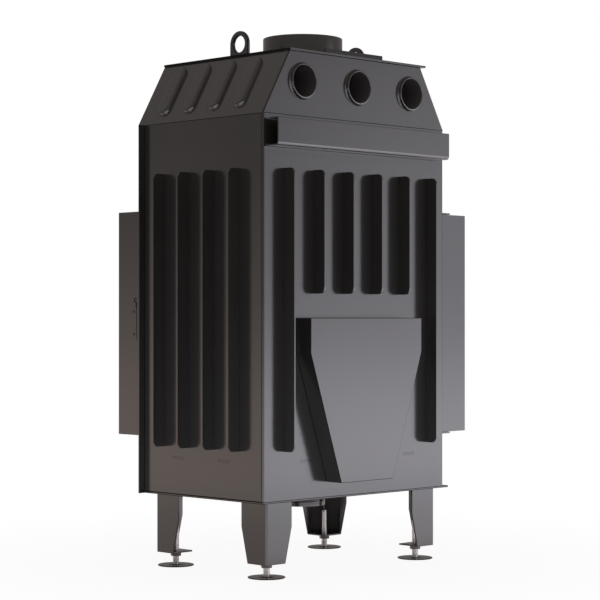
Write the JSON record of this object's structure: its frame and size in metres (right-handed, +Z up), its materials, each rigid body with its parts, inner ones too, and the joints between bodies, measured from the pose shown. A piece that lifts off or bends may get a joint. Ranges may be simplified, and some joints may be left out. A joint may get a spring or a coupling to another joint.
{
  "type": "fireplace insert",
  "caption": "Free-standing steel wood-burning fireplace insert with a corner-glazed door, finned walls, hood with flue collar and heat tubes, and levelling feet.",
  "frame": {"origin": "bottom centre of the bounding box, on the floor under the levelling feet", "axes": "+Z up, -Y out of the glazed front, -X towards the glazed side, +X towards the finned side"},
  "size_m": [0.775, 0.622, 1.319],
  "materials": {
    "body_paint": "matte heat-resistant paint, dark anthracite",
    "frame_paint": "matte heat-resistant paint, black",
    "bare_steel": "bright turned and ground steel",
    "lining_board": "pressed vermiculite board, matte",
    "fire_glass": "clear heat-resistant glass ceramic",
    "seal_rope": "knitted glass-fibre seal"
  },
  "bodies": {
    "body": {"right_side_panel": "body_paint", "back_panel": "body_paint", "front_frame_plate": "frame_paint", "left_frame_plate": "frame_paint", "bottom_plate": "body_paint", "hood_right_slope": "body_paint", "hood_left_slope": "body_paint", "hood_back_plate": "body_paint", "top_plate": "body_paint", "flue_collar": "body_paint", "top_stiffener": "body_paint", "lifting_eyes": "body_paint", "heat_tube_right": "body_paint", "heat_tube_middle": "body_paint", "heat_tube_left": "body_paint", "rear_rail": "body_paint", "back_long_fins": "body_paint", "back_short_fins": "body_paint", "side_fins": "body_paint", "rear_air_duct": "body_paint", "leg_rear_right": "body_paint", "leg_rear_left": "body_paint", "leg_front_right": "body_paint", "leg_front_left": "body_paint", "leg_base_plates": "body_paint", "foot_nuts": "body_paint", "intake_spigot": "body_paint", "air_gate_guides": "body_paint", "chamber_floor": "body_paint", "lining_back": "lining_board", "lining_right": "lining_board", "lining_floor": "lining_board", "deflector_lower": "lining_board", "deflector_upper": "body_paint", "deflector_supports": "body_paint", "hinge_brackets": "body_paint", "hinge_pins": "bare_steel", "latch_keeper": "bare_steel"},
    "door": {"door_frame": "frame_paint", "front_glass": "fire_glass", "side_glass": "fire_glass", "glass_corner_seal": "seal_rope", "glass_tape": "seal_rope", "glass_clips": "bare_steel", "door_seal_rope": "seal_rope", "hinge_bushes": "bare_steel", "latch_block": "body_paint", "latch_screws": "body_paint", "latch_dowel": "bare_steel"},
    "handle": {"handle_grip": "bare_steel", "handle_shaft": "bare_steel", "latch_hook": "bare_steel"},
    "air_control": {"air_gate": "bare_steel", "air_control_rod": "bare_steel", "air_control_knob": "frame_paint"},
    "log_guard": {"log_guard": "body_paint"},
    "foot_rear_right": {"foot_rear_right": "bare_steel"},
    "foot_rear_left": {"foot_rear_left": "bare_steel"},
    "foot_front_right": {"foot_front_right": "bare_steel"},
    "foot_front_left": {"foot_front_left": "bare_steel"}
  },
  "joints": [
    {"name": "door_swing", "type": "hinge", "parent": "body", "child": "door", "pos_m": [-0.3175, 0.24, 0.60225], "axis": [0, 0, -1], "range_deg": [0, 100]},
    {"name": "handle_turn", "type": "hinge", "parent": "door", "child": "handle", "pos_m": [0.3065, -0.238, 0.66], "axis": [0, 1, 0], "range_deg": [0, 80]},
    {"name": "air_control_pull", "type": "slide", "parent": "body", "child": "air_control", "axis": [0, -1, 0], "range_m": [0, 0.07]},
    {"name": "log_guard_lift", "type": "slide", "parent": "body", "child": "log_guard", "axis": [0, 0, 1], "range_m": [0, 0.12]},
    {"name": "foot_rear_right_level", "type": "slide", "parent": "body", "child": "foot_rear_right", "axis": [0, 0, 1], "range_m": [-0.045, 0.018]},
    {"name": "foot_rear_left_level", "type": "slide", "parent": "body", "child": "foot_rear_left", "axis": [0, 0, 1], "range_m": [-0.045, 0.018]},
    {"name": "foot_front_right_level", "type": "slide", "parent": "body", "child": "foot_front_right", "axis": [0, 0, 1], "range_m": [-0.045, 0.018]},
    {"name": "foot_front_left_level", "type": "slide", "parent": "body", "child": "foot_front_left", "axis": [0, 0, 1], "range_m": [-0.045, 0.018]}
  ]
}
